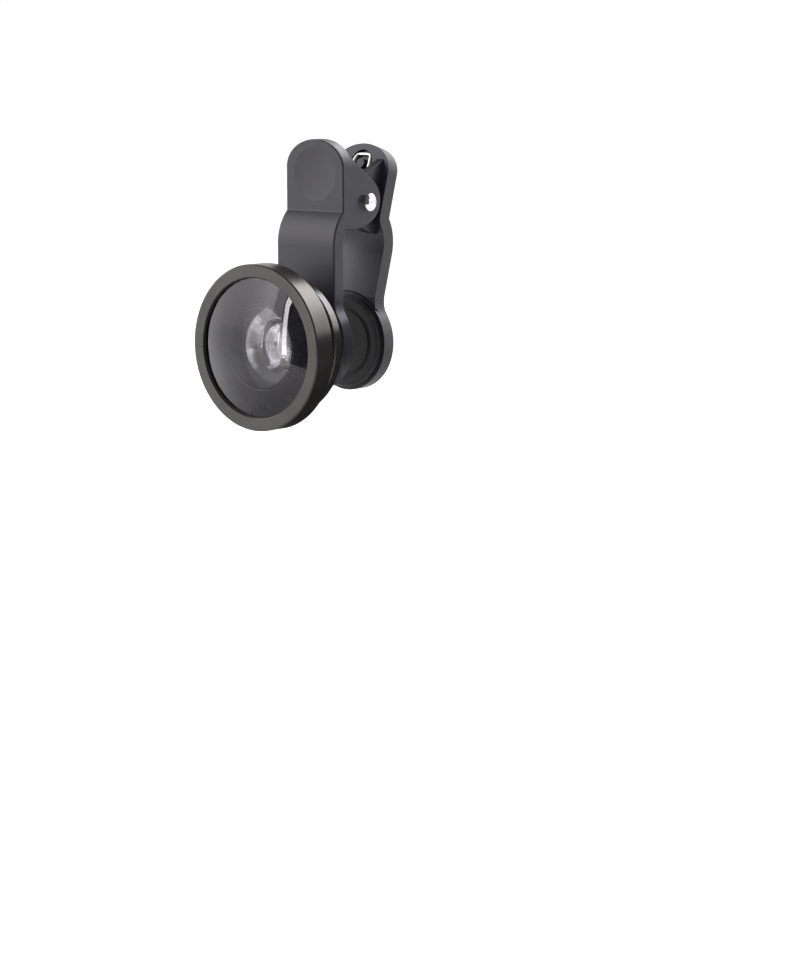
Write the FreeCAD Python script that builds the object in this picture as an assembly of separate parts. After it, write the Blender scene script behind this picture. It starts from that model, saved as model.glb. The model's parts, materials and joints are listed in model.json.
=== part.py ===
# Clip-on wide-angle lens: a sprung clip with two jaws, and a screw-in lens on its front jaw.
# Row frame, millimetres: the lens axis is Y and the lens looks along -Y. The origin is on that axis, in the
# plane where the front pad touches the device that the clip holds. +Z points up to the grips.
import FreeCAD, Part
import math
import os

os.makedirs("parts", exist_ok=True)
V = FreeCAD.Vector

# Clamping: the modelled pose holds a device of this thickness between two parallel pads
CLAMP_GAP = 7.6
REAR_LEAN = 16.3
REAR_DISC_DROP = 0.9
REAR_RELIEF_WIDTH = 0.32
REAR_RELIEF_DEPTH = 0.55

# Jaws
FRONT_WALL = 2.85
REAR_WALL = 3.2
HALF_WIDTH = 8.0
DISC_R = 10.6
NECK_FILLET = 4.0
NECK_TO_BEND = 0.9
PIN_Y = 6.6
PIN_Z = 29.2
FRONT_GRIP_RISE = 13.3
REAR_GRIP_RISE = 13.77
ARCH_RISE = 5.9
GRIP_STEP = 3.05
KNEE_DROP = 1.8
SWELL_INNER_R = 6.6
KNEE_ROUND = 3.0
RIM_ROUND = 0.3

# Ears that carry the hinge pin: the front pair is outside, the rear pair runs inside it
EAR_THICK = 1.6
REAR_EAR_THICK = 1.8
EAR_PLAY = 0.2
EAR_ROUND = 4.8
EAR_SET_BACK = 0.44
EAR_SET_UP = 0.29
FRONT_EAR_SHOULDER = 9.5
REAR_EAR_SHOULDER = 10.5
EAR_SWEEP_R = 13.0
EAR_SWEEP_START = 60.0
EAR_EDGE_ROUND = 0.25

# Thumb dish outside and spring pocket inside each grip; the rear pocket has a boss for the spring's bail
DISH_R = 5.7
DISH_DEPTH = 0.3
DISH_MARGIN = 0.1
DISH_RISE = 6.0
POCKET_R = 3.0
POCKET_DEPTH = 1.05
POCKET_RISE = 9.45
BOSS_R = 1.05
BOSS_PROUD = 0.3

# Pads
PAD_THICK = 1.35
PAD_R = 9.7
PAD_HOLE_R = 7.0
PAD_EDGE_ROUND = 0.25
REAR_PAD_LIP = 0.9
REAR_PAD_RECESS = 0.35

# Hinge pin, with a domed head on one side and a pressed cap on the other
PIN_R = 1.2
PIN_SEAT_PLAY = 0.02
PIN_RUN_PLAY = 0.06
HEAD_R = 1.82
HEAD_RIM = 0.95
HEAD_RISE = 1.2
HEAD_DIMPLE_R = 0.4
HEAD_DIMPLE_DEPTH = 0.25
CAP_WALL = 0.35
PIN_END_BACK = 0.1

# Double torsion spring
WIRE_R = 0.375
COIL_WHOLE_TURNS = 2
COIL_PLAY = 0.375
COIL_GAP = 0.49
COIL_SIDE_PLAY = 0.15
BAIL_HALF_WIDTH = 1.9
BAIL_CLEAR = 0.7
BAIL_CORNER_R = 1.0
BAIL_LEG_STRAIGHT = 2.9
BAIL_LEG_BEND_R = 6.0
SPRING_SEAT_PLAY = 0.03
FRONT_LEG_REACH = 0.95
LEG_LEAD = 1.6
GAP_SAMPLE = 0.15

# Lens, as distances out from the device along the lens axis
LENS_FRONT = 20.28
BEZEL_R = 17.42
BEZEL_FACE = 2.73
BEZEL_DEPTH = 5.05
BEZEL_LIP = 0.45
BEZEL_WALL = 1.1
BEZEL_EDGE = 0.25
THREAD_PLAY = 0.05
GASKET_THICK = 0.2
GASKET_REVEAL = 0.15
BARREL_WALL = 0.95
FRONT_GLASS_EDGE = 3.0
FRONT_GLASS_BULGE = 1.65
FRONT_GLASS_HOLLOW_R = 8.3
FRONT_GLASS_HOLLOW = 2.2
SECOND_RING_STEP = 2.92
SECOND_RING_BACK = 9.3
SECOND_RING_WIDTH = 2.15
NECK_DEPTH = 1.2
BARREL_SHOULDER = 0.17
GLASS_PLAY = 0.05
MOUNT_SPIGOT = 0.9
MOUNT_REAR_R = 8.2
MOUNT_COLLAR = 0.5
MOUNT_RIM = 0.6
STUB_R = 6.5
STUB_INSET = 0.15
STUB_BORE_R = 5.3
STUB_PLAY = 0.05
MIDDLE_EDGE = 1.2
MIDDLE_FRONT_BULGE = 1.1
MIDDLE_REAR_BULGE = 0.5
MIDDLE_CLEAR_R = 6.6
BAFFLE_WALL = 0.4
BAFFLE_LAND = 0.3
BAFFLE_RIDGES = 6
BAFFLE_RIDGE_DEPTH = 0.35
STOP_SEAT = 7.4
STOP_THICK = 0.3
STOP_HOLE_R = 3.2
STOP_LAND_R = 4.6
CROWN_TO_STOP = 0.15
REAR_GLASS_CLEAR_R = 4.6
CROWN_EDGE = 1.3
CROWN_BULGE = 0.75
CEMENTED_BULGE = 0.5
FLINT_EDGE = 1.1
FLINT_BULGE = 0.2
RETAINER_LENGTH = 1.1
RETAINER_HOLE_R = 4.2
RETAINER_SLOT = 0.8
RETAINER_SLOT_DEPTH = 0.5

FRONT, REAR = -1, 1
FAR = 40.0
WALL = {FRONT: FRONT_WALL, REAR: REAR_WALL}
GRIP_RISE = {FRONT: FRONT_GRIP_RISE, REAR: REAR_GRIP_RISE}
EAR_SHOULDER = {FRONT: FRONT_EAR_SHOULDER, REAR: REAR_EAR_SHOULDER}

# Distances from the hinge axis to the jaws' inner faces, the same on both sides of it
STEM_IN = PIN_Y + PAD_THICK
GRIP_IN = STEM_IN - GRIP_STEP
SWELL_U = STEM_IN - SWELL_INNER_R
SWELL_V = -KNEE_DROP - math.sqrt((SWELL_INNER_R + FRONT_WALL) ** 2 - (GRIP_IN + FRONT_WALL - SWELL_U) ** 2)


def place(side, x, u, v, lean=True):
    """Point of a jaw: u outwards from the hinge axis, v up from it, leaned with the rear jaw."""
    y = side * u
    z = v
    if side == REAR and lean:
        turn = math.radians(REAR_LEAN)
        y, z = y * math.cos(turn) + z * math.sin(turn), -y * math.sin(turn) + z * math.cos(turn)
    return V(x, PIN_Y + y, PIN_Z + z)


def outward(side):
    """Unit vector out through a jaw's grip."""
    return place(side, 0, 1, 0) - place(side, 0, 0, 0)


def face_of(edges):
    return Part.Face(Part.Wire(edges))


def line(a, b):
    return Part.LineSegment(a, b).toShape()


def arc(a, b, c):
    return Part.Arc(a, b, c).toShape()


def prism(edges, length):
    """Solid of an outline in a plane of constant X, from there to -length and +length."""
    flat = face_of(edges)
    flat.translate(V(-length, 0, 0))
    return flat.extrude(V(2 * length, 0, 0))


def rod(start, direction, radius, length):
    return Part.makeCylinder(radius, length, start, direction)


def disc_plane(side):
    """Inner and outer Y of the jaw's round end."""
    inner = -PAD_THICK if side == FRONT else CLAMP_GAP + PAD_THICK
    return inner, inner + side * WALL[side]


def disc_height(side):
    return 0.0 if side == FRONT else -REAR_DISC_DROP


def kink(u, y):
    """Where the rear stem's face at distance u meets the plane y of its round end."""
    turn = math.radians(REAR_LEAN)
    v = (y - PIN_Y - u * math.cos(turn)) / math.sin(turn)
    return place(REAR, 0, u, v)


def grip_out(side):
    return GRIP_IN + WALL[side]


def stem_out(side):
    return STEM_IN + WALL[side]


def on_circle(side, u, v, radius, angle):
    """Point of a jaw's side view on a circle about (u, v)."""
    return place(side, 0, u + radius * math.cos(angle), v + radius * math.sin(angle))


def swell_arcs(side):
    """The swell between grip and stem: its outer arc, and its inner arc with the round of the inner knee."""
    outer_r = SWELL_INNER_R + WALL[side]
    top = math.acos((grip_out(side) - SWELL_U) / outer_r)
    outer = [on_circle(side, SWELL_U, SWELL_V, outer_r, top * k) for k in (0, 0.5, 1)]
    round_u = GRIP_IN + KNEE_ROUND
    round_v = SWELL_V + math.sqrt((SWELL_INNER_R + KNEE_ROUND) ** 2 - (round_u - SWELL_U) ** 2)
    turn = math.atan2(round_v - SWELL_V, round_u - SWELL_U)
    knee = [on_circle(side, round_u, round_v, KNEE_ROUND, math.pi + turn * k) for k in (0, 0.5, 1)]
    inner = [on_circle(side, SWELL_U, SWELL_V, SWELL_INNER_R, turn * k) for k in (1, 0.5, 0)]
    return outer, knee, inner


def jaw_profile(side):
    """Side view of a jaw's wall, from the round end up to the top of the grip."""
    inner_y, outer_y = disc_plane(side)
    foot = disc_height(side) - DISC_R - 1
    outer, knee, inner = swell_arcs(side)
    top_out = place(side, 0, grip_out(side), GRIP_RISE[side])
    top_in = place(side, 0, GRIP_IN, GRIP_RISE[side])
    foot_out, foot_in = outer[0], inner[-1]
    low_out, low_in = V(0, outer_y, foot), V(0, inner_y, foot)
    edges = [arc(*outer), line(outer[-1], top_out), line(top_out, top_in)]
    edges += [line(top_in, knee[0]), arc(*knee), arc(*inner)]
    if side == REAR:
        bend_in, bend_out = kink(STEM_IN, inner_y), kink(stem_out(side), outer_y)
        edges += [line(foot_in, bend_in), line(bend_in, low_in), line(low_in, low_out)]
        edges += [line(low_out, bend_out), line(bend_out, foot_out)]
    else:
        edges += [line(foot_in, low_in), line(low_in, low_out), line(low_out, foot_out)]
    return edges


def neck_fillet():
    """Fillet between stem and round end, small enough to end below the bend of the rear stem."""
    bend = kink(stem_out(REAR), disc_plane(REAR)[1]).z - disc_height(REAR)
    room = (bend ** 2 / (DISC_R - HALF_WIDTH) - DISC_R - HALF_WIDTH) / 2
    return min(NECK_FILLET, NECK_TO_BEND * room)


def front_view(side):
    """Prism along Y of a jaw's front view: parallel stem, filleted neck and round end."""
    z = disc_height(side)
    top = PIN_Z + GRIP_RISE[side] + FAR
    fillet = neck_fillet()
    reach = HALF_WIDTH + fillet
    neck = z + math.sqrt((DISC_R + fillet) ** 2 - reach ** 2)
    slope = math.atan2(z - neck, reach)
    edges = [line(V(-HALF_WIDTH, 0, top), V(HALF_WIDTH, 0, top))]
    ends = []
    for sign in (1, -1):
        side_top, side_low = V(sign * HALF_WIDTH, 0, top), V(sign * HALF_WIDTH, 0, neck)
        touch = V(sign * (reach - fillet * math.cos(slope)), 0, neck + fillet * math.sin(slope))
        half = slope / 2
        middle = V(sign * (reach - fillet * math.cos(half)), 0, neck + fillet * math.sin(half))
        edges += [line(side_top, side_low), arc(side_low, middle, touch)]
        ends.append(touch)
    edges.append(arc(ends[0], V(0, 0, z - DISC_R), ends[1]))
    flat = face_of(Part.__sortEdges__(edges))
    flat.translate(V(0, -FAR, 0))
    return flat.extrude(V(0, 2 * FAR, 0))


def arch_waste(side):
    """What lies outside the half-ellipse top of a grip."""
    low = GRIP_RISE[side] - ARCH_RISE
    right, left = place(side, HALF_WIDTH, 0, low), place(side, -HALF_WIDTH, 0, low)
    oval = Part.Ellipse(right, place(side, 0, 0, GRIP_RISE[side]), place(side, 0, 0, low))
    edges = [Part.ArcOfEllipse(oval, 0, math.pi).toShape()]
    across, high = HALF_WIDTH + 1, GRIP_RISE[side] + 1
    corners = [left, place(side, -across, 0, low), place(side, -across, 0, high)]
    corners += [place(side, across, 0, high), place(side, across, 0, low), right]
    edges += [line(a, b) for a, b in zip(corners, corners[1:])]
    waste = face_of(edges)
    waste.translate(outward(side) * -FAR)
    return waste.extrude(outward(side) * 2 * FAR)


def tangent_point(u, v, cu, cv, radius):
    """Where the upper tangent from (u, v) touches the ear's round."""
    du, dv = cu - u, cv - v
    reach = math.hypot(du, dv)
    angle = math.atan2(dv, du) - math.asin(radius / reach)
    length = math.sqrt(reach ** 2 - radius ** 2)
    return u + length * math.cos(angle), v + length * math.sin(angle)


def ear_outline(side):
    """Side view of an ear: its free edges (slope, round end, sweep), and those inside the wall."""
    cu, cv = EAR_SET_BACK, EAR_SET_UP
    top = EAR_SHOULDER[side]
    start = math.radians(180 + EAR_SWEEP_START)
    tu, tv = tangent_point(GRIP_IN, top, cu, cv, EAR_ROUND)
    first = math.atan2(tv - cv, tu - cu)
    su = cu + (EAR_ROUND - EAR_SWEEP_R) * math.cos(start)
    sv = cv + (EAR_ROUND - EAR_SWEEP_R) * math.sin(start)
    across = GRIP_IN + FRONT_WALL - su
    finish = math.atan2(-math.sqrt(EAR_SWEEP_R ** 2 - across ** 2), across) + 2 * math.pi
    end = [on_circle(side, cu, cv, EAR_ROUND, first + (start - first) * k) for k in (0, 0.5, 1)]
    sweep = [on_circle(side, su, sv, EAR_SWEEP_R, start + (finish - start) * k) for k in (0.5, 1)]
    inside = GRIP_IN + FRONT_WALL / 2
    shoulder, back = place(side, 0, GRIP_IN, top), place(side, 0, inside, top)
    low = place(side, 0, inside, -KNEE_DROP)
    free = [line(shoulder, end[0]), arc(*end), arc(end[-1], *sweep)]
    return free, [line(sweep[-1], low), line(low, back), line(back, shoulder)]


def ear_planes(side):
    """Inner and outer X of a jaw's right ear; the rear pair runs just inside the front pair."""
    if side == FRONT:
        return HALF_WIDTH - EAR_THICK, HALF_WIDTH
    outer = HALF_WIDTH - EAR_THICK - EAR_PLAY
    return outer - REAR_EAR_THICK, outer


def ears(side):
    """The pair of ears of one jaw, rounded along their outer edges and trimmed to the top of the grip."""
    inner_x, outer_x = ear_planes(side)
    free, buried = ear_outline(side)
    ear = face_of(free + buried)
    ear.translate(V(inner_x, 0, 0))
    ear = ear.extrude(V(outer_x - inner_x, 0, 0))
    spots = [edge.CenterOfMass + V(outer_x, 0, 0) for edge in free]
    outer_edges = [e for e in ear.Edges if any((e.CenterOfMass - s).Length < 0.001 for s in spots)]
    ear = ear.makeFillet(EAR_EDGE_ROUND, outer_edges).cut(arch_waste(side))
    return [ear, ear.mirror(V(0, 0, 0), V(1, 0, 0))]


def pocket_rod(side, radius, length):
    """Round rod from the floor of a grip's spring pocket towards the other grip."""
    return rod(place(side, 0, GRIP_IN + POCKET_DEPTH, POCKET_RISE), outward(side) * -1, radius, length)


def dish_waste(side):
    """What the thumb dish takes out of the outside of a grip: part of a ball, kept to the dish."""
    ball_r = (DISH_R ** 2 + DISH_DEPTH ** 2) / (2 * DISH_DEPTH)
    ball = Part.makeSphere(ball_r, place(side, 0, grip_out(side) - DISH_DEPTH + ball_r, DISH_RISE))
    start = place(side, 0, grip_out(side) - DISH_DEPTH - DISH_MARGIN, DISH_RISE)
    return ball.common(rod(start, outward(side), DISH_R + DISH_MARGIN, DISH_DEPTH + 2 * DISH_MARGIN))


def on_outer_skin(point, side):
    """True where a point lies on the outer faces of a jaw's wall."""
    if side == REAR and abs(point.y - disc_plane(side)[1]) < 0.001:
        return True
    turn = math.radians(REAR_LEAN if side == REAR else 0)
    y, z = point.y - PIN_Y, point.z - PIN_Z
    u = side * (y * math.cos(turn) - z * math.sin(turn))
    v = y * math.sin(turn) + z * math.cos(turn)
    flat = abs(u - grip_out(side)) < 0.001 and v > SWELL_V
    stem = abs(u - stem_out(side)) < 0.001 and v < SWELL_V + 0.001
    swell = abs(math.hypot(u - SWELL_U, v - SWELL_V) - SWELL_INNER_R - WALL[side]) < 0.001
    return flat or stem or (swell and v > SWELL_V - 0.001)


def rim_edges(shape, side):
    """Edges round the outside of a jaw's wall: all on its outer skin, none straight across it."""
    rim = []
    for edge in shape.Edges:
        first, last = edge.ParameterRange
        spots = [edge.valueAt(first + (last - first) * k / 4) for k in range(5)]
        across = all(abs(p.y - spots[0].y) < 0.001 and abs(p.z - spots[0].z) < 0.001 for p in spots)
        if not across and all(on_outer_skin(p, side) for p in spots):
            rim.append(edge)
    return rim


def jaw(side):
    """One moulded jaw: a bent wall with a round end, a grip, two ears and a spring pocket."""
    wall = prism(jaw_profile(side), DISC_R + 1).common(front_view(side)).cut(arch_waste(side))
    if side == REAR:
        inner_y, outer_y = disc_plane(side)
        centre = V(0, inner_y, disc_height(side))
        relief = rod(centre, V(0, 1, 0), DISC_R + REAR_RELIEF_WIDTH, REAR_RELIEF_DEPTH)
        wall = wall.cut(relief).fuse(rod(centre, V(0, 1, 0), DISC_R, outer_y - inner_y))
    wall = wall.removeSplitter()
    wall = wall.makeFillet(RIM_ROUND, rim_edges(wall, side))
    body = wall.fuse(ears(side)).removeSplitter()
    body = body.cut([pocket_rod(side, POCKET_R, POCKET_DEPTH + 1), dish_waste(side)])
    if side == REAR:
        body = body.fuse(pocket_rod(side, BOSS_R, POCKET_DEPTH + BOSS_PROUD))
    hole_r = PIN_R + (PIN_SEAT_PLAY if side == FRONT else PIN_RUN_PLAY)
    body = body.cut(rod(V(-FAR, PIN_Y, PIN_Z), V(1, 0, 0), hole_r, 2 * FAR))
    if side == FRONT:
        body = body.cut(rod(V(0, -FAR, 0), V(0, 1, 0), STUB_R + STUB_PLAY, 2 * FAR))
    return body.removeSplitter()


def turned(profile):
    """Solid turned about the lens axis from (radius, distance out) points; a pair of points is an arc."""
    def spot(p):
        return V(p[0], -p[1], 0)

    edges = []
    start = last = profile[0]
    for step in profile[1:] + [start]:
        if isinstance(step[0], tuple):
            edges.append(arc(spot(last), spot(step[0]), spot(step[1])))
            last = step[1]
        elif math.hypot(step[0] - last[0], step[1] - last[1]) > 1e-9:
            edges.append(line(spot(last), spot(step)))
            last = step
    return face_of(edges).revolve(V(0, 0, 0), V(0, 1, 0), 360)


def cap_point(radius, rim, bulge):
    """Middle point of the arc of a lens face that stands bulge out of its rim at that radius."""
    ball = (radius ** 2 + bulge ** 2) / (2 * abs(bulge))
    half = math.asin(radius / ball) / 2
    sign = 1 if bulge > 0 else -1
    return ball * math.sin(half), rim + bulge - sign * (ball - ball * math.cos(half))


def lens(radius, front, back, clear, front_bulge, back_bulge):
    """Glass element between two flat rims; a bulge is how far each face rises along the axis inside them."""
    clear_front, clear_back = clear
    profile = [(0.0, front + front_bulge)]
    profile.append((cap_point(clear_front, front, front_bulge), (clear_front, front)))
    profile += [(radius, front), (radius, back), (clear_back, back)]
    profile.append((cap_point(clear_back, back, back_bulge), (0.0, back + back_bulge)))
    return turned(profile)


def front_pad():
    pad = rod(V(0, -PAD_THICK, 0), V(0, 1, 0), PAD_R, PAD_THICK)
    pad = pad.makeFillet(PAD_EDGE_ROUND, [e for e in pad.Edges if abs(e.BoundBox.YMin) < 0.001])
    return pad.cut(rod(V(0, -FAR, 0), V(0, 1, 0), PAD_HOLE_R, 2 * FAR))


def rear_pad():
    z = -REAR_DISC_DROP
    pad = rod(V(0, CLAMP_GAP, z), V(0, 1, 0), PAD_R, PAD_THICK)
    pad = pad.makeFillet(PAD_EDGE_ROUND, [e for e in pad.Edges if abs(e.BoundBox.YMax - CLAMP_GAP) < 0.001])
    middle = rod(V(0, CLAMP_GAP, z), V(0, 1, 0), PAD_R - 2 * REAR_PAD_LIP, REAR_PAD_RECESS)
    groove = middle.cut(rod(V(0, CLAMP_GAP, z), V(0, 1, 0), PAD_R - 3 * REAR_PAD_LIP, REAR_PAD_RECESS))
    return pad.cut(groove)


def dome(radius, rim, rise):
    """Domed head on the X axis, seated at x = 0 and rising along +X, with a straight rim."""
    bulge = rise - rim
    ball = (radius ** 2 + bulge ** 2) / (2 * bulge)
    half = math.asin(radius / ball) / 2
    middle = V(rise - ball + ball * math.cos(half), 0, ball * math.sin(half))
    edges = [line(V(0, 0, 0), V(0, 0, radius)), line(V(0, 0, radius), V(rim, 0, radius))]
    edges += [arc(V(rim, 0, radius), middle, V(rise, 0, 0)), line(V(rise, 0, 0), V(0, 0, 0))]
    return face_of(edges).revolve(V(0, 0, 0), V(1, 0, 0), 360)


def hinge_pin():
    head = dome(HEAD_R, HEAD_RIM, HEAD_RISE)
    dimple_foot = V(HEAD_RISE - HEAD_DIMPLE_DEPTH, 0, 0)
    head = head.cut(Part.makeCone(0, HEAD_DIMPLE_R, HEAD_DIMPLE_DEPTH, dimple_foot, V(1, 0, 0)))
    head.translate(V(HALF_WIDTH, PIN_Y, PIN_Z))
    end = HALF_WIDTH + HEAD_RISE - CAP_WALL - PIN_END_BACK
    shaft = rod(V(-end, PIN_Y, PIN_Z), V(1, 0, 0), PIN_R, end + HALF_WIDTH)
    return shaft.fuse(head).removeSplitter()


def pin_cap():
    cap = dome(HEAD_R, HEAD_RIM, HEAD_RISE)
    cap = cap.cut(rod(V(0, 0, 0), V(1, 0, 0), PIN_R + PIN_SEAT_PLAY, HEAD_RISE - CAP_WALL))
    cap.rotate(V(0, 0, 0), V(0, 0, 1), 180)
    cap.translate(V(-HALF_WIDTH, PIN_Y, PIN_Z))
    return cap


def arc_with_tangents(start, corner, end):
    """Arc from start to end whose tangents meet at corner, both legs being equal."""
    chord_middle = (start + end) * 0.5
    half_chord = (end - start).Length / 2
    height = (corner - chord_middle).Length
    sagitta = half_chord * math.tan(math.atan2(height, half_chord) / 2)
    middle = chord_middle + (corner - chord_middle) * (sagitta / height)
    return arc(start, middle, end)


def biarc(start, start_way, end, end_way):
    """Two arcs that leave start and reach end along the given unit directions."""
    gap = end - start
    total = start_way + end_way
    lead = 2 * (1 - start_way.dot(end_way))
    along = gap.dot(total)
    reach = (-along + math.sqrt(along ** 2 + lead * gap.dot(gap))) / lead
    first, second = start + start_way * reach, end - end_way * reach
    join = (first + second) * 0.5
    return [arc_with_tangents(start, first, join), arc_with_tangents(join, second, end)]


def rounded_corner(before, corner, after, radius):
    """Start and end of the arc that rounds a corner, and the arc."""
    back = (before - corner).normalize()
    ahead = (after - corner).normalize()
    half = math.acos(max(-1.0, min(1.0, back.dot(ahead)))) / 2
    leg = radius / math.tan(half)
    start, end = corner + back * leg, corner + ahead * leg
    return start, end, arc_with_tangents(start, corner, end)


def unit(vector):
    return V(vector).normalize()


def spring_half():
    """Right half of the spring's path, from the middle of the bail to the front leg's free end."""
    coil_r = PIN_R + COIL_PLAY + WIRE_R
    per_angle = (2 * WIRE_R + COIL_GAP) / (2 * math.pi)
    seat = GRIP_IN + POCKET_DEPTH - SPRING_SEAT_PLAY - WIRE_R
    bail = place(REAR, BAIL_HALF_WIDTH, seat, POCKET_RISE + BOSS_R + BAIL_CLEAR + WIRE_R)
    tip = place(FRONT, 0, seat, POCKET_RISE + FRONT_LEG_REACH)
    axis = V(0, PIN_Y, PIN_Z)

    def tangent_angle(point, sign):
        """Angle on the coil where a straight leg from a point touches it."""
        offset = V(0, point.y, point.z) - axis
        return math.atan2(offset.z, offset.y) + sign * math.acos(coil_r / offset.Length)

    first = tangent_angle(bail, -1)
    last = tangent_angle(tip, 1) - 2 * math.pi * (COIL_WHOLE_TURNS + 1)
    outer_x = ear_planes(REAR)[0] - COIL_SIDE_PLAY - WIRE_R

    def coil_point(angle):
        x = outer_x - (first - angle) * per_angle
        return V(x, PIN_Y + coil_r * math.cos(angle), PIN_Z + coil_r * math.sin(angle))

    def coil_way(angle):
        return unit(V(-per_angle, coil_r * math.sin(angle), -coil_r * math.cos(angle)))

    coil_start, coil_end = coil_point(first), coil_point(last)
    tip.x = coil_end.x
    to_coil = unit(V(0, coil_start.y - bail.y, coil_start.z - bail.z))
    bend, leg_end = coil_start - to_coil * BAIL_LEG_STRAIGHT, coil_start - to_coil * LEG_LEAD
    bail_middle = V(0, bail.y, bail.z)
    corner_start, corner_end, corner = rounded_corner(bail_middle, bail, bend, BAIL_CORNER_R)
    bend_start, bend_end, bend_arc = rounded_corner(bail, bend, leg_end, BAIL_LEG_BEND_R)
    edges = [line(bail_middle, corner_start), corner, line(corner_end, bend_start), bend_arc]
    edges.append(line(bend_end, leg_end))
    edges += biarc(leg_end, to_coil, coil_start, coil_way(first))
    quarters = math.ceil((first - last) / (math.pi / 2))
    stations = [first + (last - first) * k / quarters for k in range(quarters + 1)]
    for before, after in zip(stations, stations[1:]):
        edges += biarc(coil_point(before), coil_way(before), coil_point(after), coil_way(after))
    up = unit(tip - coil_end)
    lead = coil_end + up * LEG_LEAD
    edges += biarc(coil_end, coil_way(last), lead, unit(tip - lead))
    edges.append(line(lead, tip))
    return edges, tip, unit(tip - lead)


def least_gap(path):
    """Least gap between stretches of the wire that lie half a turn or more apart along it."""
    points = path.discretize(Distance=GAP_SAMPLE)
    apart = math.ceil(math.pi * (PIN_R + COIL_PLAY + WIRE_R) / GAP_SAMPLE)
    least = min((a - b).Length for k, a in enumerate(points) for b in points[k + apart:])
    return least - 2 * WIRE_R


def torsion_spring():
    edges, tip, way = spring_half()
    half = Part.Wire(edges)
    mirrored = half.mirror(V(0, 0, 0), V(1, 0, 0))
    path = Part.Wire(Part.__sortEdges__(half.Edges + mirrored.Edges))
    profile = Part.Wire(Part.makeCircle(WIRE_R, tip, way))
    spring = path.makePipeShell([profile], True, False)
    length = path.Length
    print("spring wire length", round(length, 2), "volume", round(spring.Volume, 3),
          "section times length", round(math.pi * WIRE_R ** 2 * length, 3))
    print("least gap of the wire to itself", round(least_gap(path), 3))
    return spring


# Lens places, worked out from the front of the lens, its bezel and the jaw
BEZEL_OPENING_R = BEZEL_R - BEZEL_FACE
LIP_BACK = LENS_FRONT - BEZEL_LIP
LAND = LIP_BACK - GASKET_THICK
BEZEL_BACK = LENS_FRONT - BEZEL_DEPTH
SKIRT_R = BEZEL_R - BEZEL_WALL
BARREL_R = SKIRT_R - THREAD_PLAY
FRONT_GLASS_R = BARREL_R - BARREL_WALL - GLASS_PLAY
SECOND_RING_R = BEZEL_R - SECOND_RING_STEP
GLASS_BACK = LAND - FRONT_GLASS_EDGE
LAND_R = BEZEL_OPENING_R - GASKET_REVEAL
JAW_FACE = PAD_THICK + FRONT_WALL
STUB_BACK = PAD_THICK + STUB_INSET
SPIGOT_FRONT = SECOND_RING_BACK + MOUNT_SPIGOT
MIDDLE_FRONT = SPIGOT_FRONT + MIDDLE_EDGE
SPACER_BACK = STOP_SEAT - STOP_THICK
CROWN_FRONT = SPACER_BACK - CROWN_BULGE - CROWN_TO_STOP
FLINT_FRONT = CROWN_FRONT - CROWN_EDGE
FLINT_BACK = FLINT_FRONT - FLINT_EDGE
REAR_GLASS_R = STUB_BORE_R - GLASS_PLAY
BAFFLE_R = FRONT_GLASS_HOLLOW_R + BAFFLE_WALL
BARREL_BORE_R = BAFFLE_R + GLASS_PLAY


def front_bezel():
    edge = BEZEL_EDGE
    profile = [(BEZEL_OPENING_R, LIP_BACK), (BEZEL_OPENING_R, LENS_FRONT - edge / 2)]
    profile += [(BEZEL_OPENING_R + edge / 2, LENS_FRONT), (BEZEL_R - edge, LENS_FRONT)]
    profile += [(BEZEL_R, LENS_FRONT - edge), (BEZEL_R, BEZEL_BACK + edge), (BEZEL_R - edge, BEZEL_BACK)]
    profile += [(SKIRT_R, BEZEL_BACK), (SKIRT_R, LIP_BACK)]
    return turned(profile)


def front_gasket():
    return turned([(LAND_R, LAND), (LAND_R, LIP_BACK), (BARREL_R, LIP_BACK), (BARREL_R, LAND)])


def front_element():
    clear = (LAND_R, FRONT_GLASS_HOLLOW_R)
    return lens(FRONT_GLASS_R, LAND, GLASS_BACK, clear, FRONT_GLASS_BULGE, FRONT_GLASS_HOLLOW)


def front_barrel():
    """Cell of the front glass, with a neck groove between the bezel and the second ring."""
    seat_r = FRONT_GLASS_R + GLASS_PLAY
    shoulder = BEZEL_BACK + BARREL_SHOULDER
    ring_front = SECOND_RING_BACK + SECOND_RING_WIDTH
    neck_r = SECOND_RING_R - NECK_DEPTH
    edge_r = SECOND_RING_R - BEZEL_EDGE
    profile = [(BARREL_BORE_R, SECOND_RING_BACK), (BARREL_BORE_R, GLASS_BACK), (seat_r, GLASS_BACK)]
    profile += [(seat_r, LAND), (BARREL_R, LAND), (BARREL_R, shoulder), (neck_r, shoulder), (neck_r, ring_front)]
    profile += [(edge_r, ring_front), (SECOND_RING_R, ring_front - BEZEL_EDGE)]
    profile += [(SECOND_RING_R, SECOND_RING_BACK + BEZEL_EDGE), (edge_r, SECOND_RING_BACK)]
    return turned(profile)


def ridged_baffle():
    """Sleeve between the front and middle elements, with ridges inside that stop stray light."""
    rear_r = MIDDLE_CLEAR_R + BAFFLE_LAND
    step = (GLASS_BACK - MIDDLE_FRONT) / BAFFLE_RIDGES
    fall = (FRONT_GLASS_HOLLOW_R - rear_r) / BAFFLE_RIDGES
    profile = [(BAFFLE_R, GLASS_BACK), (BAFFLE_R, MIDDLE_FRONT)]
    for k in range(BAFFLE_RIDGES):
        crest = rear_r + fall * k
        profile.append((crest, MIDDLE_FRONT + step * k))
        profile.append((crest + fall + BAFFLE_RIDGE_DEPTH, MIDDLE_FRONT + step * (k + 0.5)))
    profile.append((FRONT_GLASS_HOLLOW_R, GLASS_BACK))
    return turned(profile)


def middle_element():
    clear = (MIDDLE_CLEAR_R, MIDDLE_CLEAR_R)
    return lens(BAFFLE_R, MIDDLE_FRONT, SPIGOT_FRONT, clear, MIDDLE_FRONT_BULGE, -MIDDLE_REAR_BULGE)


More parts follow.
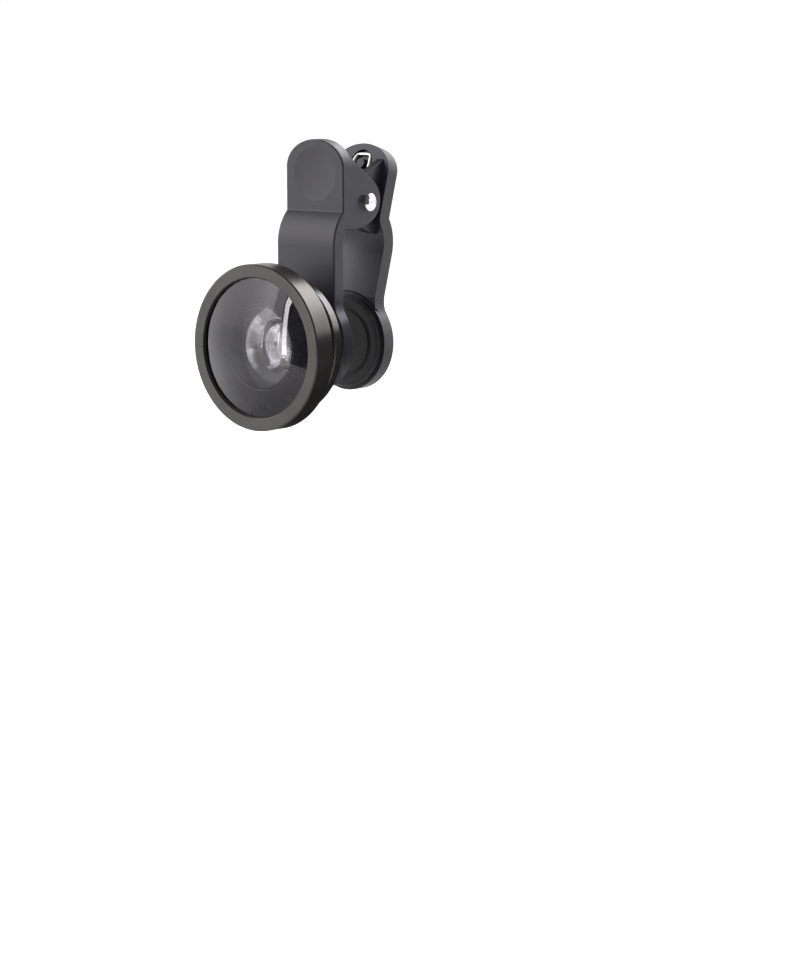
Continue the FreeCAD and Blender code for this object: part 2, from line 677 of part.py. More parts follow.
def rear_mount():
    """Tapered rear of the lens: a spigot into the barrel, a shoulder on the jaw and the screw stub."""
    outer = BARREL_BORE_R - THREAD_PLAY
    collar = JAW_FACE + MOUNT_COLLAR
    rim = SECOND_RING_BACK - MOUNT_RIM
    cone_r = MIDDLE_CLEAR_R + GLASS_PLAY
    profile = [(cone_r, SPIGOT_FRONT), (outer, SPIGOT_FRONT), (outer, SECOND_RING_BACK)]
    profile += [(SECOND_RING_R - 2 * BEZEL_EDGE, SECOND_RING_BACK), (SECOND_RING_R - 2 * BEZEL_EDGE, rim)]
    profile += [(MOUNT_REAR_R, collar), (MOUNT_REAR_R, JAW_FACE), (STUB_R, JAW_FACE)]
    profile += [(STUB_R, STUB_BACK + BEZEL_EDGE), (STUB_R - BEZEL_EDGE, STUB_BACK), (STUB_BORE_R, STUB_BACK)]
    profile += [(STUB_BORE_R, STOP_SEAT), (STOP_LAND_R, STOP_SEAT), (STOP_LAND_R, STOP_SEAT + MOUNT_RIM)]
    return turned(profile)


def aperture_stop():
    return turned([(STOP_HOLE_R, SPACER_BACK), (STOP_HOLE_R, STOP_SEAT), (REAR_GLASS_R, STOP_SEAT),
                   (REAR_GLASS_R, SPACER_BACK)])


def rear_spacer():
    return turned([(REAR_GLASS_CLEAR_R, CROWN_FRONT), (REAR_GLASS_CLEAR_R, SPACER_BACK),
                   (REAR_GLASS_R, SPACER_BACK), (REAR_GLASS_R, CROWN_FRONT)])


def rear_doublet():
    """Cemented pair: a crown element in front and a flint element that fits its rear face."""
    clear = (REAR_GLASS_CLEAR_R, REAR_GLASS_CLEAR_R)
    crown = lens(REAR_GLASS_R, CROWN_FRONT, FLINT_FRONT, clear, CROWN_BULGE, -CEMENTED_BULGE)
    flint = lens(REAR_GLASS_R, FLINT_FRONT, FLINT_BACK, clear, -CEMENTED_BULGE, FLINT_BULGE)
    return crown, flint


def rear_retaining_ring():
    back = FLINT_BACK - RETAINER_LENGTH
    ring = turned([(RETAINER_HOLE_R, back), (RETAINER_HOLE_R, FLINT_BACK), (REAR_GLASS_R, FLINT_BACK),
                   (REAR_GLASS_R, back)])
    slot = Part.makeBox(2 * STUB_R, RETAINER_SLOT_DEPTH, RETAINER_SLOT,
                        V(-STUB_R, -back - RETAINER_SLOT_DEPTH, -RETAINER_SLOT / 2))
    return ring.cut(slot)


CROWN, FLINT = rear_doublet()
NODES = {
    "front_jaw": jaw(FRONT),
    "rear_jaw": jaw(REAR),
    "front_pad": front_pad(),
    "rear_pad": rear_pad(),
    "hinge_pin": hinge_pin(),
    "pin_cap": pin_cap(),
    "torsion_spring": torsion_spring(),
    "front_bezel": front_bezel(),
    "front_gasket": front_gasket(),
    "front_element": front_element(),
    "front_barrel": front_barrel(),
    "ridged_baffle": ridged_baffle(),
    "middle_element": middle_element(),
    "rear_mount": rear_mount(),
    "aperture_stop": aperture_stop(),
    "rear_spacer": rear_spacer(),
    "rear_doublet_front": CROWN,
    "rear_doublet_back": FLINT,
    "rear_retaining_ring": rear_retaining_ring(),
}

for name, shape in NODES.items():
    solids = shape.Solids
    assert len(solids) == 1 and solids[0].isValid(), name
    solids[0].exportStep("parts/" + name + ".step")

# The rear pad's lowest point meets the front pad when the clip is shut
low_y = CLAMP_GAP - PIN_Y
low_z = -REAR_DISC_DROP - PAD_R - PIN_Z
low_reach = math.hypot(low_y, low_z)
SHUT = math.degrees(math.atan2(low_y, -low_z) + math.asin(PIN_Y / low_reach))
print("pads meet after closing by", round(SHUT, 2), "degrees")
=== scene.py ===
import json
import math

import bmesh
import bpy
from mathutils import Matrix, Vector
from mathutils import noise as noise_field


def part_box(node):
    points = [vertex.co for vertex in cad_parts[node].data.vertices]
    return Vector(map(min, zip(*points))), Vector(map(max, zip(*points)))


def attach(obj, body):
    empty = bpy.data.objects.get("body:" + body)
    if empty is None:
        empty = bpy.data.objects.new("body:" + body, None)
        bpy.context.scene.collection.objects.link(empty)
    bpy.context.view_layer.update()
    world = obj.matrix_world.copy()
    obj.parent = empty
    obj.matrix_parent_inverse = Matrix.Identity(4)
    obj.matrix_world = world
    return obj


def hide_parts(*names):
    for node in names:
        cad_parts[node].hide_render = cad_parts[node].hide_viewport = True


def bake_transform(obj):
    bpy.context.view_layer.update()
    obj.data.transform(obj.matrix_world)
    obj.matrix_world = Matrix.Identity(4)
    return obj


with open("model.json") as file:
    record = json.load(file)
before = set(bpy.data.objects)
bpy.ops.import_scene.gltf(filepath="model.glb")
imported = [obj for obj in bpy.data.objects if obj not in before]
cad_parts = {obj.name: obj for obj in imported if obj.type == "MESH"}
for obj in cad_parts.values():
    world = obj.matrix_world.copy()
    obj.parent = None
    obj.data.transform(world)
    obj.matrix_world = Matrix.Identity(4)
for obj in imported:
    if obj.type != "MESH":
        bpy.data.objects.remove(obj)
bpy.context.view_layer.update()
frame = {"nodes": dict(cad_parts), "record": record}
NODES = frame["nodes"]
MM = 0.001
FULL_TURN = 2 * math.pi


def in_mm(metres):
    """Millimetres, to the nearest thousandth."""
    return round(metres / MM, 3)


# Sizes and places that the frame gives, in millimetres
MOUNTS = {mount["name"]: mount for mount in frame["record"]["mounts"]}
REAR_PAD_FACE = MOUNTS["rear_pad_face"]["pos_m"]
CLAMP_GAP = in_mm(REAR_PAD_FACE[1])
REAR_DISC_DROP = in_mm(-REAR_PAD_FACE[2])
PAD_LOW, PAD_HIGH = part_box("front_pad")
PAD_THICK = in_mm(-PAD_LOW[1])
PAD_R = in_mm(PAD_HIGH[2])
PAD_HOLE_R = in_mm(min(math.hypot(vertex.co.x, vertex.co.z) for vertex in NODES["front_pad"].data.vertices))
MOUNT_LOW, MOUNT_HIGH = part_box("rear_mount")
SPIGOT_FRONT = in_mm(-MOUNT_LOW[1])
STUB_BACK = in_mm(-MOUNT_HIGH[1])
SHOULDER_R = in_mm(MOUNT_HIGH[0])
JAW_FACE = in_mm(-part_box("front_jaw")[0][1])
THREAD_PITCH = in_mm(frame["record"]["behaviour"]["couplings"][0]["ratio"] * FULL_TURN)

# Camera: place in metres, rotation in degrees, focal length and sensor width in millimetres
CAMERA_PLACE = (0.417905, -0.472621, 0.06845)
CAMERA_ANGLES = (81.1086, 0.1878, 40.0005)
CAMERA_LENS = 111.748
SENSOR = 36.0
CAMERA_NEAR = 0.01
CAMERA_FAR = 50.0

# Floor: its glow rises with the distance from the object, and reflections see a share of it
FLOOR_Z = -0.11471
FLOOR_HALF = 6.0
FLOOR_TONE = (0.8, 0.8, 0.8)
FLOOR_NEAR = 0.2
FLOOR_FAR = 0.5
FLOOR_GLOW_NEAR = 0.15
FLOOR_GLOW = 0.75
FLOOR_REFLECTED = 0.5

# Room: the light that it gives, and the backdrop and darker ceiling that reflections see, by elevation
WHITE = (1.0, 1.0, 1.0, 1.0)
AMBIENT = 0.45
BACKDROP_TOP = math.radians(23.0)
CEILING_START = math.radians(29.0)
CEILING = 0.3

# Lamps
# Each has its heading (azimuth and elevation in degrees, and distance), the height of the point it faces,
# its width and height, its radiance, and the rays besides the camera's that don't see it.
LAMPS = [
    ("left_softbox", (-58.5, 14.0, 0.8), 0.0, (0.98, 0.7), 6.0, []),
    ("left_wall", (-72.0, 0.0, 0.22), 0.0, (0.314, 0.235), 3.0, ["diffuse"]),
    ("strip", (-24.5, 8.0, 0.62), 0.0, (0.022, 0.34), 12.0, []),
    ("back_key", (172.0, 45.0, 0.95), 0.02, (0.4, 0.3), 13.0, ["glossy", "transmission"]),
    ("back_softbox", (172.0, 45.0, 0.9), 0.02, (0.9, 0.5), 7.0, ["diffuse"]),
    ("side_softbox", (147.0, 18.0, 0.9), 0.0, (0.28, 0.32), 3.5, []),
    ("low_side_softbox", (140.0, -1.0, 0.6), 0.0, (0.3, 0.18), 1.0, ["diffuse"]),
    ("high_softbox", (-66.0, 40.0, 0.9), 0.02, (0.5, 0.2), 3.5, []),
    ("over_softbox", (-80.0, 52.0, 0.8), 0.0, (1.5, 0.9), 2.8, ["diffuse", "glossy"]),
    ("low_softbox", (-80.0, -26.0, 0.16), 0.0, (0.16, 0.09), 2.0, ["diffuse", "glossy"]),
    ("rear_left_softbox", (-114.0, 2.0, 0.8), 0.0, (0.6, 0.5), 5.0, ["diffuse"]),
]

# Lamps that are turned about the line on which they face the lens, in degrees
LAMP_LEANS = {"strip": -3.0}

# Lamps that aren't even: (position, share) stops from left to right, as the lens sees them, and upward
LAMP_GRADES = {
    "left_softbox": (
        [(0.0, 0.42), (0.078, 0.42), (0.084, 1.0), (0.145, 0.97), (0.243, 0.66), (0.334, 0.48),
         (0.421, 0.4), (0.637, 0.36), (0.742, 0.2), (0.855, 0.08), (1.0, 0.05)],
        [(0.0, 0.08), (0.024, 0.12), (0.223, 0.3), (0.414, 0.54), (0.52, 0.6), (0.7, 1.0)],
    ),
    "left_wall": (
        [(0.0, 0.0), (0.112, 0.04), (0.174, 0.08), (0.245, 0.17), (0.286, 0.23), (0.351, 0.43),
         (0.451, 0.85), (0.52, 0.95), (0.66, 0.15), (1.0, 0.0)],
        [(0.0, 1.0), (0.35, 0.95), (0.6, 0.7), (1.0, 0.7)],
    ),
}

# Dark cards round the camera's side: azimuth in degrees and distance of each end, height of the top, tone
CARD_TONE = (0.22, 0.22, 0.24)
CARD_END_TONE = (0.08, 0.08, 0.09)
CARDS = [
    ("card_slant", (-23.5, 0.636), (-15.6, 0.542), 0.6, CARD_TONE),
    ("card_left", (-15.6, 0.542), (30.0, 0.95), 0.6, CARD_TONE),
    ("card_right", (30.0, 0.95), (112.0, 0.9), 0.6, CARD_TONE),
    ("card_end", (112.0, 0.9), (130.0, 0.9), 0.33, CARD_END_TONE),
]

# Cards that only reflections see where a held device would be: left, low, right and high edge
DEVICE_Y = 0.0038
DEVICE_TONE = (0.03, 0.03, 0.033)
DEVICE_CARDS = {
    "device_low": (-0.013, FLOOR_Z, 0.0456, -0.012),
    "device_side": (0.0115, -0.012, 0.0456, 0.0089),
}

# Marks on the jaws and the bezel, and a painted highlight along the front grip's crease, in millimetres
# A line is given by half its width and the width of its fade, and shows where X or Y is below its edge. The
# ejector mark's depth counts in heights of the plastic's grain.
FACE_FADE = 0.1
EJECTOR_X = 5.6
EJECTOR_Z = 17.1
EJECTOR_R = 1.3
EJECTOR_LINE = (0.06, 0.12)
EJECTOR_EDGE_Y = 12.6
EJECTOR_FADE = 0.2
EJECTOR_TONE = (0.02, 0.02, 0.021)
EJECTOR_DEPTH = 2.0
# The crease line is a painted highlight along the front grip's lower edge
CREASE_Z = 27.5
CREASE_LINE = (0.06, 0.14)
CREASE_EDGE_Y = -1.1
CREASE_HIGHLIGHT_TONE = (0.065, 0.063, 0.070)
SEAM_Z = -0.7
SEAM_LINE = (0.02, 0.08)
SEAM_EDGE_X = -14.7
SEAM_EDGE_Y = -20.0
SEAM_TONE = (0.02, 0.018, 0.017)

# Screw thread, in millimetres, cut round the stub and shaded in the front jaw's bore
# Its mesh has STEPS points round it and FINE along a pitch, and its depth rises and falls over a few of these
# at its ends. The shade's height counts in heights of the plastic's grain.
THREAD_DEPTH = 0.36
THREAD_STEPS = 192
THREAD_FINE = 10
THREAD_LEAD_IN = 4
THREAD_RUN_OUT = 3
THREAD_END_SHARE = 0.35
THREAD_SHADE = 60.0
THREAD_BORE_R = 6.58
THREAD_BORE_FADE = 0.02

# Pads, in millimetres, besides what the frame gives
# RUN is a mesh's longest edge along the profile, and WAVE the height and size of the soft faces' unevenness.
PAD_CROWN = 0.05
PAD_FOOT_ROUND = 0.12
PAD_EDGE_ROUND = 0.38
PAD_HOLE_ROUND = 0.3
PAD_STEPS = 160
PAD_RING_RUN = 0.35
PAD_DISC_RUN = 0.4
PAD_WAVE = 0.03
PAD_WAVE_SIZE = 3.0
GROOVE_OUT_R = 7.9
GROOVE_IN_R = 7.0
GROOVE_DEEP = 0.35
GROOVE_RIM_ROUND = 0.16
GROOVE_FOOT_ROUND = 0.1

# Rear mount, in millimetres, besides what the frame gives: radii, and distances out from the device
CONE_BORE_R = 6.65
SPIGOT_R = 8.7
SHOULDER_FRONT = 9.3
SHOULDER_BACK = 8.7
COLLAR_R = 8.2
COLLAR_FRONT = 4.7
STUB_R = 6.5
STUB_BORE_R = 5.3
STOP_SEAT = 7.4
STOP_LAND_R = 4.6
STOP_LAND_FRONT = 8.0


# Shader nodes


def new_material(name):
    """A material, its node tree and its Principled shader."""
    material = bpy.data.materials.new(name)
    material.use_nodes = True
    tree = material.node_tree
    shader = next(n for n in tree.nodes if n.type == "BSDF_PRINCIPLED")
    return material, tree, shader


def add_node(tree, kind, source=None, **values):
    """A node with its settings and its inputs' values. A source is linked to its first input."""
    node = tree.nodes.new(kind)
    if source is not None:
        tree.links.new(source, node.inputs[0])
    for name, value in values.items():
        if hasattr(node, name):
            setattr(node, name, value)
        else:
            node.inputs[name.replace("_", " ").title()].default_value = value
    return node


def object_place(tree):
    return add_node(tree, "ShaderNodeTexCoord").outputs["Object"]


def split(tree, vector):
    """A vector's outputs X, Y and Z."""
    return add_node(tree, "ShaderNodeSeparateXYZ", vector).outputs


def noise(tree, place, scale, detail=2.0, rough=0.5):
    """Noise whose features are about 1/scale metres wide."""
    node = add_node(tree, "ShaderNodeTexNoise", place, scale=scale, detail=detail, roughness=rough)
    return node.outputs["Fac"]


def math_node(tree, operation, first, second=None):
    node = add_node(tree, "ShaderNodeMath", operation=operation)
    for socket, value in zip(node.inputs, (first, second)):
        if isinstance(value, (int, float)):
            socket.default_value = value
        elif value is not None:
            tree.links.new(value, socket)
    return node.outputs[0]


def times(tree, first, second):
    return math_node(tree, "MULTIPLY", first, second)


def weighed(tree, first, second, share):
    """Sum of the first value's share and the second value's rest."""
    return math_node(tree, "ADD", times(tree, first, share), times(tree, second, 1.0 - share))


def flat_length(tree, first, second):
    """Length of a vector of two numbers."""
    squares = math_node(tree, "ADD", times(tree, first, first), times(tree, second, second))
    return math_node(tree, "SQRT", squares)


def spread(tree, value, low, high, new_low, new_high, smooth=False):
    """Maps a value's range to another range, clamped."""
    kind = "SMOOTHSTEP" if smooth else "LINEAR"
    node = add_node(tree, "ShaderNodeMapRange", value, interpolation_type=kind, from_min=low, from_max=high,
                    to_min=new_low, to_max=new_high)
    return node.outputs["Result"]


def band(tree, value, centre, line):
    """1 within half a line's width of the centre, fading to 0. The centre and the line are in millimetres."""
    half, fade = line
    away = math_node(tree, "ABSOLUTE", math_node(tree, "SUBTRACT", value, centre * MM))
    return spread(tree, away, half * MM, (half + fade) * MM, 1.0, 0.0, smooth=True)


def below(tree, value, edge, fade=FACE_FADE):
    """1 where the value is below an edge in millimetres, fading to 0 beyond it."""
    return spread(tree, value, edge * MM, (edge + fade) * MM, 1.0, 0.0)


def ramp(tree, value, stops):
    """Colour ramp between (position, colour) stops."""
    node = add_node(tree, "ShaderNodeValToRGB", value)
    elements = node.color_ramp.elements
    while len(elements) < len(stops):
        elements.new(0.5)
    for element, (position, colour) in zip(elements, stops):
        element.position = position
        element.color = (*colour, 1.0)
    return node.outputs["Color"]


def two_tone(tree, value, dark, light):
    """Colour between two tones over the middle of a noise's range."""
    return ramp(tree, value, [(0.3, dark), (0.7, light)])


def mix_colour(tree, factor, base, tone):
    """The base colour, and a plain tone where the factor is 1."""
    node = add_node(tree, "ShaderNodeMix", data_type="RGBA")
    tree.links.new(factor, node.inputs["Factor"])
    tree.links.new(base, node.inputs["A"])
    node.inputs["B"].default_value = (*tone, 1.0)
    return node.outputs["Result"]


def cover(tree, shader, colour, rough, height, depth):
    """Gives a shader its colour, its roughness and a bump whose depth is in millimetres."""
    tree.links.new(colour, shader.inputs["Base Color"])
    tree.links.new(rough, shader.inputs["Roughness"])
    node = add_node(tree, "ShaderNodeBump", distance=depth * MM)
    tree.links.new(height, node.inputs["Height"])
    tree.links.new(node.outputs["Normal"], shader.inputs["Normal"])


# Materials


def ejector_ring(tree, at):
    """Ring that a mould's ejector left on the rear stem's inner face."""
    side = math_node(tree, "SUBTRACT", at["X"], EJECTOR_X * MM)
    rise = math_node(tree, "SUBTRACT", at["Z"], EJECTOR_Z * MM)
    ring = band(tree, flat_length(tree, side, rise), EJECTOR_R, EJECTOR_LINE)
    return times(tree, ring, below(tree, at["Y"], EJECTOR_EDGE_Y, EJECTOR_FADE))


def grip_crease_highlight(tree, at):
    """Painted highlight: a light line along the crease at the front grip's lower edge."""
    return times(tree, band(tree, at["Z"], CREASE_Z, CREASE_LINE), below(tree, at["Y"], CREASE_EDGE_Y))


def bore_thread(tree, at):
    """Height of the thread in the front jaw's bore: a tooth that climbs by the pitch in a turn."""
    turn = math_node(tree, "DIVIDE", math_node(tree, "ARCTAN2", at["Z"], at["X"]), FULL_TURN)
    along = math_node(tree, "DIVIDE", at["Y"], THREAD_PITCH * MM)
    tooth = math_node(tree, "PINGPONG", math_node(tree, "ADD", along, turn), 0.5)
    bore = below(tree, flat_length(tree, at["X"], at["Z"]), THREAD_BORE_R, THREAD_BORE_FADE)
    return times(tree, tooth, bore)


def bezel_seam(tree, at):
    """Fine dark line across the left side of the bezel's front face."""
    left = below(tree, at["X"], SEAM_EDGE_X)
    front = below(tree, at["Y"], SEAM_EDGE_Y)
    return times(tree, band(tree, at["Z"], SEAM_Z, SEAM_LINE), times(tree, left, front))


def moulded_plastic(name, front):
    """Matte black plastic with a fine spark-eroded grain and the front or the rear jaw's own marks; on the
    front jaw, a painted highlight along the grip's crease.
    """
    material, tree, shader = new_material(name)
    place = object_place(tree)
    at = split(tree, place)
    cloud = noise(tree, place, 160.0, detail=3.0)
    grain = noise(tree, place, 5200.0, rough=0.6)
    speck = noise(tree, place, 11000.0, detail=1.0)
    colour = two_tone(tree, cloud, (0.0215, 0.0205, 0.0275), (0.0265, 0.0255, 0.0330))
    height = weighed(tree, grain, speck, share=0.7)
    if front:
        # Painted highlight along the grip's crease
        colour = mix_colour(tree, grip_crease_highlight(tree, at), colour, CREASE_HIGHLIGHT_TONE)
        height = math_node(tree, "ADD", height, times(tree, bore_thread(tree, at), THREAD_SHADE))
    else:
        ring = ejector_ring(tree, at)
        colour = mix_colour(tree, ring, colour, EJECTOR_TONE)
        height = math_node(tree, "SUBTRACT", height, times(tree, ring, EJECTOR_DEPTH))
    rough = spread(tree, grain, 0.25, 0.75, 0.38, 0.47)
    cover(tree, shader, colour, rough, height, depth=0.006)
    shader.inputs["IOR"].default_value = 1.46
    shader.inputs["Specular Tint"].default_value = (0.96, 0.93, 1.0, 1.0)
    return material


def anodised(name, tone, rough_low, rough_high, seam=False):
    """Fine-blasted black anodised aluminium, with faint turning marks round the lens axis."""
    material, tree, shader = new_material(name)
    place = object_place(tree)
    at = split(tree, place)
    rings = add_node(tree, "ShaderNodeCombineXYZ", flat_length(tree, at["X"], at["Z"]))
    tree.links.new(at["Y"], rings.inputs["Y"])
    turning = noise(tree, rings.outputs["Vector"], 9000.0)
    blast = noise(tree, place, 7000.0, rough=0.6)
    cloud = noise(tree, place, 220.0, detail=3.0)
    colour = two_tone(tree, cloud, tuple(c * 0.9 for c in tone), tuple(c * 1.12 for c in tone))
    if seam:
        colour = mix_colour(tree, bezel_seam(tree, at), colour, SEAM_TONE)
    rough = spread(tree, blast, 0.25, 0.75, rough_low, rough_high)
    height = weighed(tree, blast, turning, share=0.75)
    cover(tree, shader, colour, rough, height, depth=0.004)
    shader.inputs["Metallic"].default_value = 0.75
    shader.inputs["IOR"].default_value = 1.6
    return material


def inner_black(name):
    """Dead black of the baffles and rings inside the lens."""
    material, tree, shader = new_material(name)
    fine = noise(tree, object_place(tree), 6000.0)
    colour = two_tone(tree, fine, (0.010, 0.010, 0.011), (0.016, 0.016, 0.017))
    rough = spread(tree, fine, 0.3, 0.7, 0.5, 0.65)
    cover(tree, shader, colour, rough, fine, depth=0.006)
    return material


def polished_steel(name, rough_low, rough_high, tone):
    """Bright plated steel with faint drawing marks and a little unevenness."""
    material, tree, shader = new_material(name)
    place = object_place(tree)
    cloud = noise(tree, place, 900.0, detail=3.0)
    fine = noise(tree, place, 9000.0)
    colour = two_tone(tree, cloud, tone, tuple(min(1.0, c * 1.06) for c in tone))
    rough = spread(tree, fine, 0.25, 0.75, rough_low, rough_high)
    cover(tree, shader, colour, rough, fine, depth=0.0015)
    shader.inputs["Metallic"].default_value = 1.0
    return material


def soft_rubber(name):
    """Dark closed-cell rubber: dull, finely pored, a little paler where it is rubbed."""
    material, tree, shader = new_material(name)
    place = object_place(tree)
    cloud = noise(tree, place, 260.0, detail=4.0)
    cells = add_node(tree, "ShaderNodeTexVoronoi", place, scale=4200.0)
    pores = spread(tree, cells.outputs["Distance"], 0.0, 0.6, 0.0, 1.0, smooth=True)
    colour = two_tone(tree, cloud, (0.016, 0.016, 0.017), (0.026, 0.026, 0.027))
    rough = spread(tree, cloud, 0.3, 0.7, 0.72, 0.84)
    cover(tree, shader, colour, rough, pores, depth=0.02)
    shader.inputs["Sheen Weight"].default_value = 0.12
    shader.inputs["Sheen Roughness"].default_value = 0.5
    return material


def optical_glass(name, tint, ior):
    """Clear, coated optical glass whose tint is the least bit uneven."""
    material, tree, shader = new_material(name)
    cloud = noise(tree, object_place(tree), 60.0, detail=1.0)
    colour = two_tone(tree, cloud, tuple(c * 0.97 for c in tint), tint)
    tree.links.new(colour, shader.inputs["Base Color"])
    shader.inputs["Roughness"].default_value = 0.0
    shader.inputs["Transmission Weight"].default_value = 1.0
    shader.inputs["IOR"].default_value = ior
    shader.inputs["Specular Tint"].default_value = (0.985, 0.945, 1.0, 1.0)
    return material


def dress(node, material):
    """Puts a material on all of a CAD node."""
    slots = NODES[node].material_slots
    if not slots:
        NODES[node].data.materials.append(None)
        slots = NODES[node].material_slots
    for slot in slots:
        slot.material = material


PLASTIC_FRONT = moulded_plastic("clip_plastic_front", front=True)
PLASTIC_REAR = moulded_plastic("clip_plastic_rear", front=False)
BEZEL_BLACK = anodised("bezel_black", (0.059, 0.0553, 0.0537), 0.27, 0.35, seam=True)
BARREL_BLACK = anodised("barrel_black", (0.072, 0.070, 0.070), 0.24, 0.32)
INNER_BLACK = inner_black("inner_black")
PIN_STEEL = polished_steel("pin_steel", 0.06, 0.12, (0.90, 0.89, 0.86))
WIRE_STEEL = polished_steel("spring_wire", 0.28, 0.36, (0.93, 0.93, 0.92))
RUBBER = soft_rubber("pad_rubber")
CROWN_GLASS = optical_glass("lens_glass", (0.985, 0.985, 0.995), 1.52)
MIDDLE_GLASS = optical_glass("middle_glass", (0.985, 0.985, 0.99), 1.8)
FLINT_GLASS = optical_glass("dense_glass", (0.98, 0.985, 0.985), 1.62)

FINISHES = {
    "front_jaw": PLASTIC_FRONT,
    "rear_jaw": PLASTIC_REAR,
    "front_bezel": BEZEL_BLACK,
    "front_barrel": BARREL_BLACK,
    "hinge_pin": PIN_STEEL,
    "pin_cap": PIN_STEEL,
    "front_gasket": RUBBER,
    "ridged_baffle": INNER_BLACK,
    "aperture_stop": INNER_BLACK,
    "rear_spacer": INNER_BLACK,
    "rear_retaining_ring": INNER_BLACK,
    "front_element": CROWN_GLASS,
    "middle_element": MIDDLE_GLASS,
    "rear_doublet_front": CROWN_GLASS,
    "rear_doublet_back": FLINT_GLASS,
}
for finished_node, finish in FINISHES.items():
    dress(finished_node, finish)


# Pieces made here


def link(name, data, material):
    piece = bpy.data.objects.new(name, data)
    bpy.context.scene.collection.objects.link(piece)
    data.materials.clear()
    data.materials.append(material)
    return piece


def turned_mesh(name, profile, steps, centre=(0.0, 0.0, 0.0), shift=None):
    """Closed mesh turned about an axis along Y from (radius, y) points in millimetres.
    shift(k, angle) moves the radius of profile point k. A radius of 0 is a point on the axis."""
    mesh = bmesh.new()
    rings = []
    for k, (radius, y) in enumerate(profile):
        if radius == 0.0:
            spot = mesh.verts.new(Vector((centre[0], centre[1] + y, centre[2])) * MM)
            rings.append([spot] * steps)
            continue
        ring = []
        for step in range(steps):
            angle = FULL_TURN * step / steps
            here = radius + (shift(k, angle) if shift else 0.0)
            spot = (centre[0] + here * math.cos(angle), centre[1] + y, centre[2] + here * math.sin(angle))
            ring.append(mesh.verts.new(Vector(spot) * MM))
        rings.append(ring)
    pairs = list(zip(rings, rings[1:]))
    if profile[0][0] != 0.0:
        pairs.append((rings[-1], rings[0]))
    for first, second in pairs:
        for step in range(steps):
            after = (step + 1) % steps
            corners = [first[step], first[after], second[after], second[step]]
            corners = [c for n, c in enumerate(corners) if c not in corners[:n]]
            if len(corners) > 2:
                mesh.faces.new(corners)
    bmesh.ops.recalc_face_normals(mesh, faces=mesh.faces)
    data = bpy.data.meshes.new(name)
    mesh.to_mesh(data)
    mesh.free()
    data.shade_smooth()
    return data


def rounded(profile, radii, points=5, closed=True):
    """Profile whose corners are rounded by the given radii."""
    result = []
    count = len(profile)
    for k, corner in enumerate(profile):
        radius = radii[k]
        if radius == 0.0 or (not closed and k in (0, count - 1)):
            result.append(corner)
            continue
        here = Vector(corner)
        back = (Vector(profile[k - 1]) - here).normalized()
        ahead = (Vector(profile[(k + 1) % count]) - here).normalized()
        half = back.angle(ahead) / 2
        leg = radius / math.tan(half)
        middle = here + (back + ahead).normalized() * (radius / math.sin(half))
        first, last = here + back * leg - middle, here + ahead * leg - middle
        swing = first.angle(last)
        for n in range(points):
            share = n / (points - 1)
            way = (first * math.sin(swing * (1 - share)) + last * math.sin(swing * share)) / math.sin(swing)
            result.append(tuple(middle + way))
    return result


def divided(profile, longest, closed=True):
    """Profile with points added along its long runs."""
    result = []
    ends = profile[1:] + (profile[:1] if closed else [])
    for start, end in zip(profile, ends):
        parts = max(1, math.ceil(math.dist(start, end) / longest))
        for n in range(parts):
            share = n / parts
            result.append((start[0] + (end[0] - start[0]) * share, start[1] + (end[1] - start[1]) * share))
    if not closed:
        result.append(profile[-1])
    return result


def soften(data, middle_y):
    """Pushes a pad's two faces in, towards its middle, by a slow and shallow unevenness along Y."""
    for vertex in data.vertices:
        wave = noise_field.noise(vertex.co / (PAD_WAVE_SIZE * MM))
        share = 0.5 + 0.5 * wave
        toward = -1.0 if vertex.co.y > middle_y * MM else 1.0
        vertex.co.y += toward * share * PAD_WAVE * MM


def front_pad_ring():
    """Soft ring on the front jaw, with rounded edges and a slightly crowned face."""
    middle_r = (PAD_HOLE_R + PAD_R) / 2
    corners = [
        ((PAD_HOLE_R, -PAD_THICK), PAD_FOOT_ROUND),
        ((PAD_HOLE_R, -PAD_CROWN), PAD_HOLE_ROUND),
        ((middle_r, 0.0), 0.0),
        ((PAD_R, -PAD_CROWN), PAD_EDGE_ROUND),
        ((PAD_R, -PAD_THICK), PAD_FOOT_ROUND),
    ]
    profile = rounded([place for place, _ in corners], [radius for _, radius in corners])
    data = turned_mesh("front_pad_ring", divided(profile, PAD_RING_RUN), PAD_STEPS)
    soften(data, -PAD_THICK / 2)
    piece = link("front_pad_ring", data, RUBBER)
    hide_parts("front_pad")
    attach(piece, "front_clip")


def rear_pad_disc():
    """Soft disc on the rear jaw: a raised rim, a moulded groove and a raised, slightly crowned middle."""
    back = CLAMP_GAP + PAD_THICK
    edge = CLAMP_GAP + PAD_CROWN
    low = CLAMP_GAP + GROOVE_DEEP
    corners = [
        ((0.0, CLAMP_GAP), 0.0),
        ((GROOVE_IN_R, edge), GROOVE_RIM_ROUND),
        ((GROOVE_IN_R, low), GROOVE_FOOT_ROUND),
        ((GROOVE_OUT_R, low), GROOVE_FOOT_ROUND),
        ((GROOVE_OUT_R, edge), GROOVE_RIM_ROUND),
        ((PAD_R, edge), PAD_EDGE_ROUND),
        ((PAD_R, back), PAD_FOOT_ROUND),
        ((0.0, back), 0.0),
    ]
    profile = rounded([place for place, _ in corners], [radius for _, radius in corners], closed=False)
    data = turned_mesh("rear_pad_disc", divided(profile, PAD_DISC_RUN, closed=False), PAD_STEPS,
                       centre=(0.0, 0.0, -REAR_DISC_DROP))
    soften(data, CLAMP_GAP + PAD_THICK / 2)
    piece = link("rear_pad_disc", data, RUBBER)
    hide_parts("rear_pad")
    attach(piece, "rear_clip")


def spring_wire():
    """The spring's wire, a copy of the spring's mesh in steel."""
    data = NODES["torsion_spring"].data.copy()
    data.name = "spring_wire"
    piece = link("spring_wire", data, WIRE_STEEL)
    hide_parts("torsion_spring")
    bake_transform(piece)


